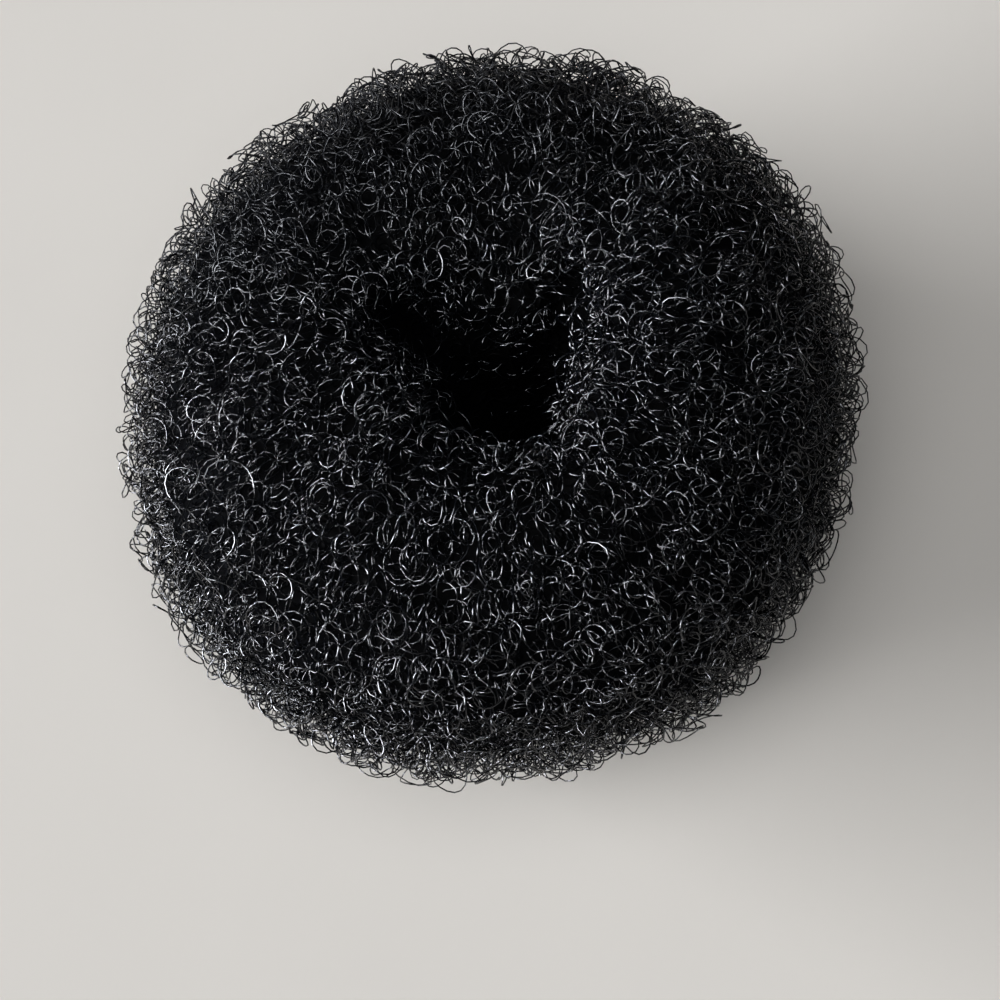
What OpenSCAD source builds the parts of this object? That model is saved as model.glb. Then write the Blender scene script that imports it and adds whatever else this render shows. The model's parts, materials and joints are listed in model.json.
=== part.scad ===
// A plump ring of curled nylon net for shaping a hair bun. The net is one long knitted sleeve,
// rolled up on itself until it is a soft ring, so the whole ring is one solid.
// The ring lies on its underside. Its origin is the middle of the underside, and +Z runs up
// through the hole.

/* [Ring] */
// Mean width across the ring, a little inside the tips of its loosest curls
ring_d = 84; // [76:1:96]
// Height of the ring at its mean crest
ring_h = 40; // [34:1:47]
// Mean diameter of the circle that the top of the crest runs round
crest_d = 38; // [34:1:44]
// Height at which the ring is widest
belly_z = 20; // [15:1:24]

/* [Hole] */
// Mean width of the hole at its throat, where the net bulges into it
throat_d = 11.5; // [9.5:0.5:16]
// Height of the throat
throat_z = 21; // [15:1:24]
// How far the hole lies off the middle of the ring, to the right
hole_x = 4; // [-4:0.5:5]
// How far the hole lies off the middle of the ring, away from the front
hole_y = -2; // [-4:0.5:4]
// Power of the shoulder's curve round the mouth of the hole: 2 is a plain oval and more is squarer
shoulder_power = 2.8; // [2.4:0.1:3.4]
// Width of the hole at its lower lip, where the net closes in again under the throat
lip_d = 9.6; // [9:0.2:12]
// How far the lower lip lies off the hole's own axis, to the right
lip_x = 1; // [-1.5:0.5:1.5]
// How far the lower lip lies off the hole's own axis, away from the front
lip_y = -2; // [-2:0.5:1.5]
// Power of the lip's curve down to the foot, in the same way as the shoulder's
lip_power = 4.4; // [2.6:0.2:5]
// Depth of the folds that run up out of the hole
fold_depth = 6; // [0:0.5:8]

/* [Foot] */
// Diameter of the circle through the middle of the flat band that the ring rests on
foot_d = 46; // [42:1:50]
// Width of that flat band
foot_w = 10; // [6:1:13]

/* [Surface] */
// Height of the soft lumps in the rolled net
lump_h = 0.6; // [0:0.1:1.2]
// Sections round the ring
around = 90; // [60:6:108]
// Points on each quarter of a section
quarter = 10; // [7:1:11]

/* [Hidden] */

// How each side of the ring departs from the mean. The rows lie evenly round the hole,
// counter-clockwise from +X, 30 degrees apart. Every column is a share: reach of ring_d, crest_at
// of crest_d, crest of ring_h, shoulder of shoulder_power and throat of throat_d.
stations = [
    // reach, crest_at, crest, shoulder, throat
    [0.983, 1.06, 1.02, 1.05, 1.02],
    [0.999, 1.06, 1.01, 0.95, 1.18],
    [0.996, 1.04, 0.98, 0.80, 1.02],
    [1.022, 0.95, 0.96, 0.72, 0.72],
    [1.015, 0.95, 0.96, 0.80, 1.00],
    [1.006, 0.99, 0.97, 0.95, 1.28],
    [0.978, 0.93, 1.01, 1.25, 0.80],
    [0.998, 0.91, 1.02, 1.35, 0.70],
    [1.005, 0.95, 1.01, 1.20, 0.91],
    [0.999, 1.04, 1.00, 1.05, 1.07],
    [1.022, 1.06, 1.00, 1.00, 1.23],
    [0.990, 1.06, 1.02, 1.00, 1.07],
];

// The folds that part the lobes round the hole. depth is a share of fold_depth. at and half_width
// are directions round the hole. rim is where on a section the fold is deepest and half_length how
// far it runs from there: 0 is the outermost point, 90 the crest and 180 the throat.
folds = [
    // at, depth, half_width, rim, half_length
    [40, 0.75, 16, 142, 38],
    [146, 0.70, 18, 150, 36],
    [298, 0.50, 18, 150, 34],
];

// The lumps are a sum of waves. round counts the waves round the ring and over those over a section.
waves = [
    // round, over, share, start
    [9, 6, 0.40, 20],
    [7, -8, 0.35, 75],
    [13, 3, 0.25, 140],
];

// Where the foot is on a section, and the angle beside it over which the lumps fade, as v runs
foot_angle = 270;
foot_fade_angle = 30;
foot_steps = 3;
per_section = 4 * quarter + foot_steps;

// A smooth curve through evenly spaced values, t of the way from b to c
function through(a, b, c, d, t) =
    b + t * ((c - a) / 2 + t * (a - 5 * b / 2 + 2 * c - d / 2 + t * (3 * (b - c) + d - a) / 2));

// The row of the stations table for any direction
function station(direction) =
    let (
        n = len(stations),
        step = 360 / n,
        i = floor(direction / step),
        t = direction / step - i,
        row = function (k) stations[(i + k + n) % n]
    ) through(row(-1), row(0), row(1), row(2), t);

// How far the hole's own axis is from a circle about the ring's middle, in one direction
function from_hole(radius, direction) =
    let (
        along = hole_x * cos(direction) + hole_y * sin(direction),
        aside = hole_x * sin(direction) - hole_y * cos(direction)
    ) sqrt(radius * radius - aside * aside) - along;

// 1 in the middle of a bump, falling smoothly to 0 at its half width and beyond
function bump(x) = abs(x) >= 1 ? 0 : (1 + cos(180 * x)) / 2;

// The shorter way round from one direction to another
function turn_between(a, b) = (a - b + 540) % 360 - 180;

// How far a fold sinks the surface, at a direction round the hole and a place v on the section
function fold_at(direction, v) =
    max([
        for (f = folds)
            let (at = f[0], depth = f[1], half_width = f[2], rim = f[3], half_length = f[4])
                fold_depth * depth * bump(turn_between(direction, at) / half_width)
                    * bump((v - rim) / half_length)
    ]);

// How far a lump stands out there. The lumps die away towards the hole, where they are crowded.
function lump_at(direction, v, from_axis) =
    lump_h * min(1, from_axis / (crest_d / 2)) * [
        for (w = waves)
            let (round = w[0], over = w[1], share = w[2], start = w[3])
                share * sin(round * direction + over * v + start)
    ] * [for (w = waves) 1];

// The plain section at one direction: four quarter ovals and the flat foot, each point as
// [distance from the hole's axis, height, v]. Under the throat the wall leans in to the lower lip.
function plain_section(direction) =
    let (
        row = station(direction),
        out = from_hole(ring_d / 2 * row[0], direction),
        crest = from_hole(crest_d / 2 * row[1], direction),
        top = ring_h * row[2],
        full = 2 / (shoulder_power * row[3]),
        under = 2 / lip_power,
        in = throat_d / 2 * row[4],
        lip = lip_d / 2 + lip_x * cos(direction) + lip_y * sin(direction),
        foot_out = from_hole((foot_d + foot_w) / 2, direction),
        foot_in = from_hole((foot_d - foot_w) / 2, direction),
        step = 90 / quarter
    ) [
        for (i = [0:quarter - 1])
            let (t = i * step)
                [crest + (out - crest) * cos(t), belly_z + (top - belly_z) * sin(t), t],
        for (i = [0:quarter - 1])
            let (t = i * step)
                [
                    crest - (crest - in) * pow(sin(t), full),
                    throat_z + (top - throat_z) * pow(cos(t), full),
                    90 + t
                ],
        for (i = [0:quarter - 1])
            let (
                t = i * step,
                down = pow(sin(t), under),
                wall = in + (lip - in) * min(1, 2 * down)
            ) [foot_in - (foot_in - wall) * pow(cos(t), under), throat_z * (1 - down), 180 + t],
        for (i = [0:foot_steps])
            [foot_in + (foot_out - foot_in) * i / foot_steps, 0, foot_angle],
        for (i = [1:quarter - 1])
            let (t = i * step)
                [foot_out + (out - foot_out) * sin(t), belly_z * (1 - cos(t)), foot_angle + t],
    ];

// The same section with its folds and lumps, which push each point towards or away from the
// heart of the section and leave the foot flat
function soft_section(direction) =
    let (heart = [from_hole(crest_d / 2, direction), belly_z])
    [
        for (p = plain_section(direction))
            let (
                fade = min(1, abs(p[2] - foot_angle) / foot_fade_angle),
                flat = [p[0], p[1]],
                way = (flat - heart) / norm(flat - heart),
                move = lump_at(direction, p[2], p[0]) - fold_at(direction, p[2])
            ) flat + fade * move * way
    ];

// The middle of a list's lowest and highest numbers
function middle(v) = (min(v) + max(v)) / 2;

module net_ring() {
    rough = [
        for (s = [0:around - 1])
            let (direction = 360 * s / around)
                for (p = soft_section(direction))
                    [hole_x + p[0] * cos(direction), hole_y + p[0] * sin(direction), p[1]]
    ];
    // The origin is the middle of the ring as it came out
    centre = [middle([for (p = rough) p[0]]), middle([for (p = rough) p[1]]), 0];
    points = [for (p = rough) p - centre];
    at = function (s, i) (s % around) * per_section + i % per_section;
    faces = [
        for (s = [0:around - 1])
            for (i = [0:per_section - 1])
                for (face = [
                        [at(s, i), at(s, i + 1), at(s + 1, i + 1)],
                        [at(s, i), at(s + 1, i + 1), at(s + 1, i)],
                    ])
                    face
    ];
    color([0.03, 0.03, 0.04]) polyhedron(points, faces);
}

net_ring();
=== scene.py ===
# A rolled ring of crimped black nylon net on pale paper. The CAD solid gives the shape. Here it
# becomes a dark body of packed net with thousands of loose curls of filament standing in it.
# The lengths named below are millimetres where no comment says otherwise. The meshes and materials
# are in metres. A place on the ring is u, which runs round the hole from +X, and v, which runs
# round a section from its outermost point up over the crest. Each goes from 0 to 1.

import json
import math

import bpy
import numpy as np
from mathutils import Matrix, Vector
from mathutils.bvhtree import BVHTree


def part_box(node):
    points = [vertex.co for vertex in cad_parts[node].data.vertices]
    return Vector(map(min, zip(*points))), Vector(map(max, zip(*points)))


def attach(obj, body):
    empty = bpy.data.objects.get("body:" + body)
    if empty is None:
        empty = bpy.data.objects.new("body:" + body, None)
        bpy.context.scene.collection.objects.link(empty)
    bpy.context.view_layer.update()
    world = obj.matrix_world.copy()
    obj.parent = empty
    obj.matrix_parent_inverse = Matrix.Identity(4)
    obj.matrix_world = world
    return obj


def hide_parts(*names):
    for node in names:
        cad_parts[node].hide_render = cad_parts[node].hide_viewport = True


MM = 0.001
SEED = 7

# The ring's surface: its samples in u and v, the circle that every section is sampled from, and the
# blur in samples before and after they are evenly spaced
AROUND, OVER = 360, 256
HEART_R, HEART_Z = 19.0, 20.0
FIRST_BLUR, LAST_BLUR = (1.6, 2.2), (1.0, 1.0)

# Places on the ring. The last two are given as a middle and half width in u, and then in v.
HOLE_V, HOLE_HALF, HOLE_EDGE = 0.54, 0.12, 0.06  # the hole's walls, and the edge where they fade
LIP_V, LIP_HALF = 0.585, 0.10  # the lower lip of the hole
FAR_WALL = (0.25, 0.15, 0.41, 0.11)  # the back of the hole's mouth
SLACK = (0.09, 0.13, 0.40, 0.12)  # the right of its mouth, where the net is slack

# The dark body of packed net under the curls
BODY_AROUND, BODY_OVER = 240, 128
CORE_DEPTH, HOLE_DEPTH = 3.4, 0.9  # how deep it lies under the CAD surface, outside and in the hole
LIP_RISE = 3.0  # how far it rises again at the lower lip
BODY_ROUGH, ROUGH_BLUR = 0.5, (1.5, 1.2)  # its unevenness, and how far that is blurred
BODY_BLUR = (0.6, 0.6)
BODY_CLEAR = 0.4  # the height of its lowest points over the paper

# Layers of curls. rows and loops are the spacing of the rows and of the curls in a row, steps the
# segments in a curl, size its mean radius and spread, thick the filament's radius, and gap how deep
# a curl's top lies under the tips: its least, the depths of DEPTH_SHARES, and its most. proud is
# the share of curls that stand out past the tips.
LAYERS = [
    dict(
        name="curls_outer", rows=1.50, loops=1.62, steps=13, size=(1.50, 0.30), thick=0.092,
        gap=(0.0, 0.8, 2.0, 3.7), proud=0.03,
    ),
    dict(
        name="curls_inner", rows=1.85, loops=2.00, steps=9, size=(1.55, 0.28), thick=0.080,
        gap=(2.2, 2.9, 3.5, 4.2), proud=0.0,
    ),
]
DEPTH_SHARES = (0, 0.25, 0.6, 1)
TIPS = 1.0  # how far the tips stand outside the CAD surface
PROUD_GAP, PROUD_SIZE = (-0.7, -0.1), 1.12  # how deep a proud curl lies, and how much larger it is
LIP_REACH = 5.0  # how far the curls at the lower lip reach in at most
FAR_REACH = 5.0  # how far those of the far wall lean off it at most
SLACK_DEPTH = 3.2  # how far those in the slack net sink at most
SLACK_THICK = 0.70  # how much thicker they are, as a share
SLACK_GAIN = 1.6  # how steeply the net goes from taut to slack

# Samples along a row, and how far before and behind a place, in u, the row's direction is taken
FINE, AHEAD = 1440, 0.004

# The chances of each row and curl. Angles are in degrees.
ROW_JITTER = 0.15  # share of the rows' spacing
SLIDE, WANDER = 0.30, 0.42  # spread of a curl's place along its row and across it
DRIFT, DRIFT_CURLS = 0.45, 6  # spread of the row's own slow wander, and the curls to one change
SIZE_LIMITS = (0.75, 2.2)  # of a curl's radius
WIDTH_SHARES = (0.72, 1.15)  # radius along the row, as a share of the radius across it
FLAT, ACROSS, ALONG = 0.30, 0.20, 0.50  # shares that lie, stand across the row and along it
LEVEL_SHARE = 0.42  # share that goes from along to across where the net lies level
STANDING = (58, 16)  # mean and spread of a standing curl's angle
FLAT_LEAN, SIDE_LEAN = 26, 17  # spread of a flat curl's angles and of a standing one's other angle
UNEVEN = 0.10  # spread of a curl's start, in turns
THICKNESS, THICK_CURLS = (0.85, 1.15), 8  # shares of thick, and the curls to one change
FEWEST = 4  # changes round a short row

# The sides of the filament's tube, its turn in radians, and how many faces one mesh may have
SIDES, TUBE_TURN = 3, 0.5
PIECE_QUADS = 99000

# How the net gets duller towards the back: the way, and how far that goes, in metres
DULL_WAY, DULL_RANGE = (-0.25, 0.968, 0.0), (0.0, 0.032)
SHINY, DULL = 0.58, 0.21  # specular level in front and behind
DULL_ROUGH = 0.24  # how much roughness it adds

# The lights stand LIGHT_FAR metres off. Angles and widths are degrees as seen from the ring, and
# level is the light's radiance. A light shows only in gloss, or only on what is matt.
LIGHT_FAR = 6.0
LIGHTS = [
    # name, azimuth, elevation, wide, high, level, colour, in gloss
    ("window", 177, 5.2, 48, 8.5, 137.0, (1.0, 0.99, 0.975), False),
    ("room", 285, 75, 68, 68, 1.30, (1.0, 0.985, 0.965), False),
    ("room_glint", 285, 75, 68, 68, 0.36, (0.86, 0.93, 1.0), True),
    ("high_glint", 285, 82, 22, 22, 3.0, (0.86, 0.93, 1.0), True),
    ("window_glint", 194, 29, 27, 22, 68.0, (0.96, 0.97, 1.0), True),
    ("upper_glint", 195, 58, 22, 16, 32.0, (0.96, 0.97, 1.0), True),
]
SKY, SKY_LEVEL = (0.985, 0.99, 1.0, 1), 0.042
FLOOR_HALF = 12.0  # metres

# The camera: the point it looks at, the way back from there in degrees, and its distance in metres
AIM = (0.82, -10.92, 15.81)
AZIMUTH, ELEVATION, DISTANCE = -60, 67, 0.2
SENSOR, LENS = 36, 64.53
CLIP = (0.01, 20)  # metres


def in_hole(v):
    """1 on the walls of the hole and 0 on the outside."""
    return np.clip(1 - (np.abs(v - HOLE_V) - HOLE_HALF) / HOLE_EDGE, 0, 1)


def near_lip(v):
    """1 at the hole's lower lip, falling to 0 at its half width."""
    return np.clip(1 - np.abs(v - LIP_V) / LIP_HALF, 0, 1)


def near_place(u, v, place):
    """1 in the middle of a place on the ring, falling to 0 all round."""
    middle_u, half_u, middle_v, half_v = place
    aside = np.abs((u - middle_u + 0.5) % 1 - 0.5)
    return np.clip(1 - aside / half_u, 0, 1) * np.clip(1 - np.abs(v - middle_v) / half_v, 0, 1)


def periodic_blur(field, sigma_u, sigma_v):
    """Blurs a field over u and v, which closes on itself both ways, by spreads in samples."""
    for axis, sigma in ((0, sigma_u), (1, sigma_v)):
        n = field.shape[axis]
        k = np.fft.fftfreq(n)
        gain = np.exp(-2 * (math.pi * k * sigma) ** 2)
        shape = [1, 1, 1]
        shape[axis] = n
        field = np.real(np.fft.ifft(np.fft.fft(field, axis=axis) * gain.reshape(shape), axis=axis))
    return field


def unit(a):
    return a / np.maximum(np.linalg.norm(a, axis=-1, keepdims=True), 1e-12)


def square_to(way, a):
    """The direction of a, turned square to the unit vector way."""
    return unit(a - np.sum(a * way, -1, keepdims=True) * way)


def sampled_sections(tree, middle, hole):
    """Where rays from the heart of each section meet the CAD ring, in mm."""
    grid = np.zeros((AROUND, OVER, 3))
    off = hole - middle
    for i in range(AROUND):
        turn = 2 * math.pi * i / AROUND
        d = np.array([math.cos(turn), math.sin(turn)])
        # The heart is out from the hole's axis, on the circle round the ring's middle
        b, c = off @ d, off @ off - HEART_R**2
        out = -b + math.sqrt(b * b - c)
        heart = Vector((*(hole + out * d) * MM, HEART_Z * MM))
        for j in range(OVER):
            a = 2 * math.pi * j / OVER
            way = Vector((math.cos(a) * d[0], math.cos(a) * d[1], math.sin(a)))
            hit = tree.ray_cast(heart, way)[0]
            grid[i, j] = np.array(hit) / MM
    return grid


def evenly_spaced(grid):
    """The same sections with their points evenly spaced, and the mean length round one."""
    even = np.zeros_like(grid)
    length = np.zeros(AROUND)
    for i in range(AROUND):
        ring = np.vstack([grid[i], grid[i, :1]])
        along = np.concatenate([[0], np.cumsum(np.linalg.norm(np.diff(ring, axis=0), axis=1))])
        length[i] = along[-1]
        want = np.arange(OVER) / OVER * along[-1]
        for k in range(3):
            even[i, :, k] = np.interp(want, along, ring[:, k])
    return even, np.mean(length)


def ring_surface(node, hole):
    """The CAD ring's surface as a smooth grid of points with their outward normals, and the mean
    length round a section."""
    mesh = node.data
    points = [v.co.copy() for v in mesh.vertices]
    tree = BVHTree.FromPolygons(points, [tuple(p.vertices) for p in mesh.polygons])
    low, high = (np.array(c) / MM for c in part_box("net_ring"))
    middle = (low + high)[:2] / 2
    grid = periodic_blur(sampled_sections(tree, middle, hole), *FIRST_BLUR)
    even, girth = evenly_spaced(grid)
    even = periodic_blur(even, *LAST_BLUR)
    even[..., 2] = np.maximum(even[..., 2], 0)
    du = np.roll(even, -1, 0) - np.roll(even, 1, 0)
    dv = np.roll(even, -1, 1) - np.roll(even, 1, 1)
    return even, unit(np.cross(du, dv)), girth


def look_up(field, u, v):
    """A (u, v) field at any places, smoothly between its samples."""
    x, y = (u % 1) * field.shape[0], (v % 1) * field.shape[1]
    i, j = np.floor(x).astype(int), np.floor(y).astype(int)
    fx, fy = (x - i)[:, None], (y - j)[:, None]
    i, j = i % field.shape[0], j % field.shape[1]
    i2, j2 = (i + 1) % field.shape[0], (j + 1) % field.shape[1]
    here = field[i, j] * (1 - fx) + field[i2, j] * fx
    over = field[i, j2] * (1 - fx) + field[i2, j2] * fx
    return here * (1 - fy) + over * fy


def eased(values, t):
    """Values given at whole numbers, smoothly between them at any t, closing at the end."""
    n = len(values)
    i = np.floor(t).astype(int)
    f = t - i
    f = f * f * (3 - 2 * f)
    return values[i % n] * (1 - f) + values[(i + 1) % n] * f


def curl_angles(rng, level, count):
    """How far each curl turns up out of the net, about the line across the row and the line along
    it. Where the net is level more curls stand across the row, and on the sides along it."""
    turned = LEVEL_SHARE * level
    pose = rng.choice(3, count, p=(FLAT, ACROSS + turned, ALONG - turned))
    stand = rng.choice([-1, 1], count) * rng.normal(*STANDING, count)
    roll = [rng.normal(0, FLAT_LEAN, count), stand, rng.normal(0, SIDE_LEAN, count)]
    pitch = [rng.normal(0, FLAT_LEAN, count), rng.normal(0, SIDE_LEAN, count), stand]
    return np.radians(np.choose(pose, roll)), np.radians(np.choose(pose, pitch))


def curl_depths(rng, u, v, layer):
    """How deep each curl's top lies under the CAD surface, how slack the net is there from 0 to 1,
    and whether the curl is a proud one."""
    count = len(u)
    gap = np.interp(rng.random(count), DEPTH_SHARES, layer["gap"])
    # The square root makes most of the lip's curls reach far in
    gap = gap - LIP_REACH * rng.random(count) ** 0.5 * near_lip(v)
    gap = gap - FAR_REACH * rng.random(count) * near_place(u, v, FAR_WALL)
    slack = np.minimum(1, SLACK_GAIN * near_place(u, v, SLACK))
    gap = gap + SLACK_DEPTH * rng.random(count) * slack
    proud = rng.random(count) < layer["proud"]
    gap = np.where(proud, rng.uniform(*PROUD_GAP, count), gap) - TIPS * (1 - in_hole(v))
    return gap, slack, proud


def row_of_curls(rng, surface, normal, girth, v0, layer):
    """One row of curls, round the ring once and closed: the points of its line, with the axis that
    it coils round and the filament's radius at each."""
    fine = np.arange(FINE) / FINE
    line = look_up(surface, fine, np.full(FINE, v0))
    along = np.cumsum(np.linalg.norm(np.roll(line, -1, 0) - line, axis=1))
    along = np.concatenate([[0], along])
    count = round(along[-1] / layer["loops"])
    steps = layer["steps"]
    t = np.arange(count * steps) / steps

    slide = eased(rng.normal(0, SLIDE, count), t)
    u = np.interp((t * along[-1] / count + slide) % along[-1], along, np.append(fine, 1.0))
    wander = eased(rng.normal(0, WANDER, count), t)
    drift = rng.normal(0, DRIFT, max(FEWEST, count // DRIFT_CURLS))
    v = v0 + (wander + eased(drift, t / DRIFT_CURLS)) / girth

    place = look_up(surface, u, v)
    out = unit(look_up(normal, u, v))
    step = look_up(surface, u + AHEAD, v) - look_up(surface, u - AHEAD, v)
    onward = square_to(out, step)
    across = np.cross(out, onward)

    size = np.clip(rng.normal(*layer["size"], count), *SIZE_LIMITS)
    wide = size * rng.uniform(*WIDTH_SHARES, count)
    roll, pitch = curl_angles(rng, abs(np.mean(out[:, 2])), count)
    gap, slack, proud = curl_depths(rng, u[::steps], v0, layer)
    size = np.where(proud, size * PROUD_SIZE, size)

    per_curl = (size, wide, roll, pitch, gap, slack)
    size, wide, roll, pitch, gap, slack = (eased(values, t) for values in per_curl)
    hand = rng.choice([-1, 1])
    turns = t + eased(rng.normal(0, UNEVEN, count), t)
    phase = 2 * math.pi * turns * hand + rng.uniform(0, 2 * math.pi)
    # A curl is an oval, whose two axes lie along and across the row and turn up from there
    ahead = onward * np.cos(roll)[:, None] + out * np.sin(roll)[:, None]
    aside = across * np.cos(pitch)[:, None] + out * np.sin(pitch)[:, None]
    reach = np.sqrt((wide * np.sin(roll)) ** 2 + (size * np.sin(pitch)) ** 2)
    line = place - out * (gap + reach)[:, None]
    line = line + ahead * (wide * np.cos(phase))[:, None] + aside * (size * np.sin(phase))[:, None]
    share = rng.uniform(*THICKNESS, max(FEWEST, count // THICK_CURLS))
    thick = layer["thick"] * eased(share, t / THICK_CURLS) * (1 + SLACK_THICK * slack)
    line[:, 2] = np.maximum(line[:, 2], thick)
    return line, np.cross(ahead, aside), thick


def tubes(name, rows):
    """One mesh of closed three-sided tubes. Each face has a cell of its own in the UV map."""
    points, faces, start = [], [], 0
    for line, axis, thick in rows:
        k = len(line)
        along = unit(np.roll(line, -1, 0) - np.roll(line, 1, 0))
        side = square_to(along, axis)
        other = np.cross(along, side)
        for corner in range(SIDES):
            a = 2 * math.pi * corner / SIDES + TUBE_TURN
            points.append(line + thick[:, None] * (side * math.cos(a) + other * math.sin(a)))
        here = np.arange(k)
        there = np.roll(here, -1)
        for corner in range(SIDES):
            a, b = start + corner * k, start + (corner + 1) % SIDES * k
            faces.append(np.stack([a + here, a + there, b + there, b + here], 1))
        start += SIDES * k
    faces = np.concatenate(faces)
    return mesh_object(name, np.concatenate(points) * MM, faces, cell_map(len(faces)))


def cell_map(count):
    """A UV map with one square cell for each face, in rows."""
    wide = math.ceil(math.sqrt(count))
    x, y = np.arange(count) % wide, np.arange(count) // wide
    inset = 0.12
    corners = [(inset, inset), (1 - inset, inset), (1 - inset, 1 - inset), (inset, 1 - inset)]
    return np.stack([np.stack([x + cx, y + cy], 1) / wide for cx, cy in corners], 1).reshape(-1, 2)


def mesh_object(name, points, faces, uv):
    """A smooth mesh of four-sided faces, from arrays."""
    mesh = bpy.data.meshes.new(name)
    mesh.vertices.add(len(points))
    mesh.vertices.foreach_set("co", points.astype(np.float32).ravel())
    mesh.loops.add(faces.size)
    mesh.loops.foreach_set("vertex_index", faces.astype(np.int32).ravel())
    mesh.polygons.add(len(faces))
    mesh.polygons.foreach_set("loop_start", np.arange(0, faces.size, 4, dtype=np.int32))
    mesh.update(calc_edges=True)
    mesh.uv_layers.new(name="OFBake").data.foreach_set("uv", uv.astype(np.float32).ravel())
    mesh.polygons.foreach_set("use_smooth", np.ones(len(faces), bool))
    mesh.validate()
    made = bpy.data.objects.new(name, mesh)
    bpy.context.scene.collection.objects.link(made)
    return made


def packed_body(rng, surface, normal):
    """The dark body of net under the curls: the ring's surface sunk and roughened."""
    nu, nv = BODY_AROUND, BODY_OVER
    i, j = np.meshgrid(np.arange(nu), np.arange(nv), indexing="ij")
    u, v = i / nu, j / nv
    place = look_up(surface, u.ravel(), v.ravel()).reshape(nu, nv, 3)
    out = unit(look_up(normal, u.ravel(), v.ravel())).reshape(nu, nv, 3)
    rough = periodic_blur(rng.normal(0, 1, (nu, nv, 1)), *ROUGH_BLUR)
    rough = rough / np.abs(rough).max() * BODY_ROUGH
    inside, lip = in_hole(v)[..., None], near_lip(v)[..., None]
    depth = CORE_DEPTH + (HOLE_DEPTH - CORE_DEPTH) * inside - LIP_RISE * lip
    sunk = periodic_blur(place - out * (depth + rough), *BODY_BLUR)
    sunk[..., 2] = np.maximum(sunk[..., 2], BODY_CLEAR)
    at = np.arange(nu * nv).reshape(nu, nv)
    corners = [at, np.roll(at, -1, 0), np.roll(at, (-1, -1), (0, 1)), np.roll(at, -1, 1)]
    faces = np.stack(corners, -1).reshape(-1, 4)
    uv = np.stack([np.stack([i + a, j + b], -1) for a, b in ((0, 0), (1, 0), (1, 1), (0, 1))], 2)
    uv = uv.reshape(-1, 2) / [nu, nv]
    return mesh_object("net_body", sunk.reshape(-1, 3) * MM, faces, uv)


class Nodes:
    """Adds nodes to a material in a few words each."""

    def __init__(self, name):
        self.material = bpy.data.materials.new(name)
        self.material.use_nodes = True
        self.tree = self.material.node_tree
        self.shader = self.tree.nodes["Principled BSDF"]
        self.where = self.add("ShaderNodeTexCoord").outputs["Object"]

    def add(self, kind, links=(), **values):
        """A node with its links. values are its settings, or inputs with _ for a space."""
        node = self.tree.nodes.new(kind)
        for key, value in values.items():
            if hasattr(node, key):
                setattr(node, key, value)
            else:
                node.inputs[key.replace("_", " ")].default_value = value
        for socket, source in dict(links).items():
            self.tree.links.new(source, node.inputs[socket])
        return node

    def ramp(self, source, low, high, span=(0.0, 1.0)):
        """A colour that goes from low to high as the source goes over the span."""
        node = self.add("ShaderNodeValToRGB", {"Fac": source})
        for element, position, colour in zip(node.color_ramp.elements, span, (low, high)):
            element.position = position
            element.color = (*colour, 1)
        return node.outputs["Color"]

    def spread(self, source, start, end):
        """The source carried over from the start range to the end range."""
        node = self.add("ShaderNodeMapRange", {"Value": source})
        for socket, value in zip(("From Min", "From Max", "To Min", "To Max"), (*start, *end)):
            node.inputs[socket].default_value = value
        return node.outputs["Result"]

    def calculate(self, operation, *terms):
        """What a Math node makes of sockets and plain numbers."""
        node = self.add("ShaderNodeMath", operation=operation)
        for socket, term in zip(node.inputs, terms):
            if isinstance(term, float):
                socket.default_value = term
            else:
                self.tree.links.new(term, socket)
        return node.outputs["Value"]

    def link(self, source, socket):
        self.tree.links.new(source, self.shader.inputs[socket])

    def set(self, **values):
        for key, value in values.items():
            self.shader.inputs[key.replace("_", " ")].default_value = value


def filament_material():
    """Glossy black nylon. It is duller towards the back, which the photo shows soft and dim."""
    n = Nodes("nylon_filament")
    tint = n.add("ShaderNodeTexNoise", {"Vector": n.where}, Scale=900.0, Detail=2.0, Roughness=0.6)
    dark, light = (0.0006, 0.0008, 0.0015), (0.0020, 0.0024, 0.0038)
    n.link(n.ramp(tint.outputs["Fac"], dark, light, (0.35, 0.68)), "Base Color")
    back = n.add("ShaderNodeVectorMath", {0: n.where}, operation="DOT_PRODUCT")
    back.inputs[1].default_value = DULL_WAY
    dull = n.spread(back.outputs["Value"], DULL_RANGE, (0.0, 1.0))
    wear = n.add("ShaderNodeTexNoise", {"Vector": n.where}, Scale=1700.0, Detail=1.0)
    rough = n.spread(wear.outputs["Fac"], (0.3, 0.7), (0.07, 0.15))
    n.link(n.calculate("MULTIPLY_ADD", dull, DULL_ROUGH, rough), "Roughness")
    n.link(n.spread(dull, (0.0, 1.0), (SHINY, DULL)), "Specular IOR Level")
    n.set(IOR=1.53, Specular_Tint=(0.93, 0.95, 1.0, 1))
    return n.material


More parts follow.
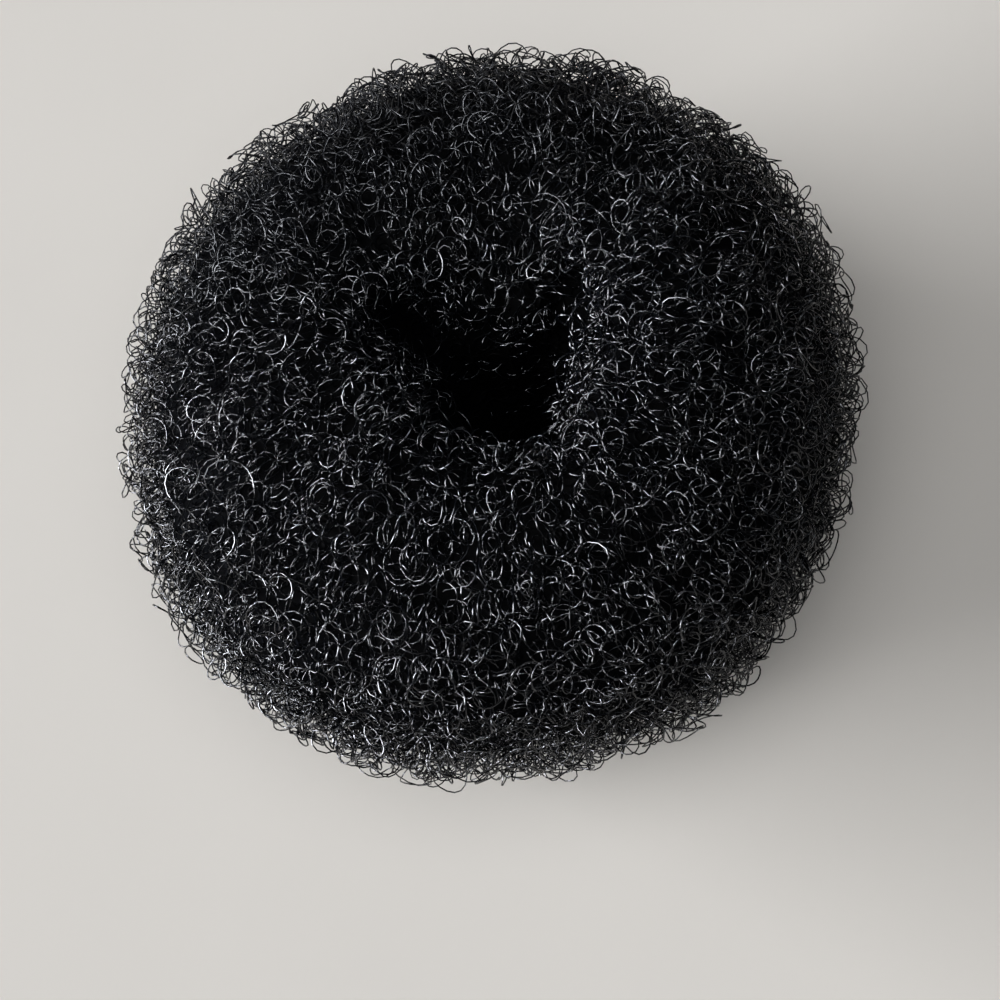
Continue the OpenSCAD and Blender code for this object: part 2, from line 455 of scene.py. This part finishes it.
def body_material():
    """Packed net seen between the curls: near black, with small arcs of deeper curls in relief."""
    n = Nodes("packed_net")
    bend = n.add("ShaderNodeTexNoise", {"Vector": n.where}, Scale=380.0, Detail=1.0)
    bent = bend.outputs["Color"]
    push = n.add("ShaderNodeVectorMath", {0: bent}, operation="SCALE", Scale=0.0012)
    moved = n.add("ShaderNodeVectorMath", {0: n.where, 1: push.outputs["Vector"]}, operation="ADD")
    arcs = []
    for scale, radius in ((330.0, 0.40), (430.0, 0.34)):
        cells = n.add("ShaderNodeTexVoronoi", {"Vector": moved.outputs["Vector"]}, Scale=scale)
        away = n.calculate("ABSOLUTE", n.calculate("SUBTRACT", cells.outputs["Distance"], radius))
        arcs.append(n.spread(away, (0.0, 0.07), (1.0, 0.0)))
    height = n.calculate("MAXIMUM", *arcs)
    # The colour is darker away from the arcs: painted shade in the gaps among the deeper curls.
    n.link(n.ramp(height, (0.0006, 0.0008, 0.0014), (0.0016, 0.0020, 0.0032)), "Base Color")
    n.link(n.spread(height, (0.0, 1.0), (0.9, 0.42)), "Roughness")
    bump = n.add("ShaderNodeBump", {"Height": height}, Strength=1.0, Distance=0.00035)
    n.link(bump.outputs["Normal"], "Normal")
    n.set(IOR=1.5, Specular_IOR_Level=0.03)
    return n.material


def floor_material():
    """Pale paper with a faint grain."""
    n = Nodes("pale_paper")
    grain = n.add("ShaderNodeTexNoise", {"Vector": n.where}, Scale=35.0, Detail=4.0)
    shades = (0.715, 0.700, 0.680), (0.745, 0.730, 0.708)
    n.link(n.ramp(grain.outputs["Fac"], *shades), "Base Color")
    n.set(Roughness=0.9, Specular_IOR_Level=0.0)
    return n.material


def layer_of_curls(rng, surface, normal, girth, layer):
    """A layer's rows from v = 0 on, as meshes that each stay within PIECE_QUADS."""
    count = round(girth / layer["rows"])
    meshes, rows, held = [], [], 0
    for k in range(count):
        v = (k + rng.uniform(-ROW_JITTER, ROW_JITTER)) / count
        row = row_of_curls(rng, surface, normal, girth, v, layer)
        quads = SIDES * len(row[0])
        if held + quads > PIECE_QUADS:
            meshes.append(tubes(f"{layer['name']}_{len(meshes) + 1}", rows))
            rows, held = [], 0
        rows.append(row)
        held += quads
    meshes.append(tubes(f"{layer['name']}_{len(meshes) + 1}", rows))
    return meshes


def build_ring(rng):
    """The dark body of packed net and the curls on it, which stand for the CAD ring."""
    mount = next(m for m in frame["record"]["mounts"] if m["name"] == "ponytail_hole")
    hole = np.array(mount["pos_m"][:2]) / MM
    surface, normal, girth = ring_surface(frame["nodes"]["net_ring"], hole)
    nylon, packed = filament_material(), body_material()

    body = packed_body(rng, surface, normal)
    body.data.materials.append(packed)
    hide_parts("net_ring")
    pieces = [body]
    for layer in LAYERS:
        pieces += layer_of_curls(rng, surface, normal, girth, layer)
    for piece in pieces:
        if piece is not body:
            piece.data.materials.append(nylon)
        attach(piece, "root")


def build_stage():
    mesh = bpy.data.meshes.new("floor")
    half = FLOOR_HALF
    corners = [(-half, -half, 0), (half, -half, 0), (half, half, 0), (-half, half, 0)]
    mesh.from_pydata(corners, [], [(0, 1, 2, 3)])
    floor = bpy.data.objects.new("floor", mesh)
    floor.data.materials.append(floor_material())
    bpy.context.scene.collection.objects.link(floor)


def way_to(azimuth, elevation):
    """The unit vector that way, from angles in degrees."""
    a, e = math.radians(azimuth), math.radians(elevation)
    return Vector((math.cos(a) * math.cos(e), math.sin(a) * math.cos(e), math.sin(e)))


def area_light(name, azimuth, elevation, wide, high, level, colour, in_gloss):
    """A far soft light, round where it is as wide as high."""
    light = bpy.data.lights.new(name, "AREA")
    light.shape = "ELLIPSE" if wide == high else "RECTANGLE"
    light.size, light.size_y = (2 * LIGHT_FAR * math.tan(math.radians(x / 2)) for x in (wide, high))
    area = light.size * light.size_y * (math.pi / 4 if wide == high else 1)
    light.energy = level * math.pi * area
    light.color = colour
    lamp = bpy.data.objects.new(name, light)
    way = way_to(azimuth, elevation)
    lamp.location = way * LIGHT_FAR
    lamp.rotation_euler = way.to_track_quat("Z", "Y").to_euler()
    lamp.visible_camera = False
    lamp.visible_glossy = in_gloss
    lamp.visible_diffuse = not in_gloss
    bpy.context.scene.collection.objects.link(lamp)


def build_light():
    for light in LIGHTS:
        area_light(*light)
    world = bpy.data.worlds.new("soft_room")
    world.use_nodes = True
    sky = world.node_tree.nodes["Background"]
    sky.inputs["Color"].default_value = SKY
    sky.inputs["Strength"].default_value = SKY_LEVEL
    bpy.context.scene.world = world
    bpy.context.scene.view_settings.view_transform = "Standard"


def build_camera():
    camera = bpy.data.cameras.new("camera")
    camera.sensor_width = SENSOR
    camera.lens = LENS
    camera.clip_start, camera.clip_end = CLIP
    seen = bpy.data.objects.new("camera", camera)
    back = way_to(AZIMUTH, ELEVATION)
    right = Vector((0, 1, 0)).cross(back).normalized()
    up = back.cross(right)
    place = Vector(AIM) * MM + back * DISTANCE
    turn = Matrix((right, up, back)).transposed().to_4x4()
    seen.matrix_world = Matrix.Translation(place) @ turn
    bpy.context.scene.collection.objects.link(seen)
    bpy.context.scene.camera = seen


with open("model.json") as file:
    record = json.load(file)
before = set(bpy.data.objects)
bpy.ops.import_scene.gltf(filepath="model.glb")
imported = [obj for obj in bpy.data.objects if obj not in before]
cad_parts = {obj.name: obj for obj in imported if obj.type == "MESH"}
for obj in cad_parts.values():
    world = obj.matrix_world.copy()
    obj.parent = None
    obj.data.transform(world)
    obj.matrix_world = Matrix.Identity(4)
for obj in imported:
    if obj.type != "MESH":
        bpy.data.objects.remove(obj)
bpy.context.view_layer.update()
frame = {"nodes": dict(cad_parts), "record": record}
build_camera()
build_ring(np.random.default_rng(SEED))
build_stage()
build_light()
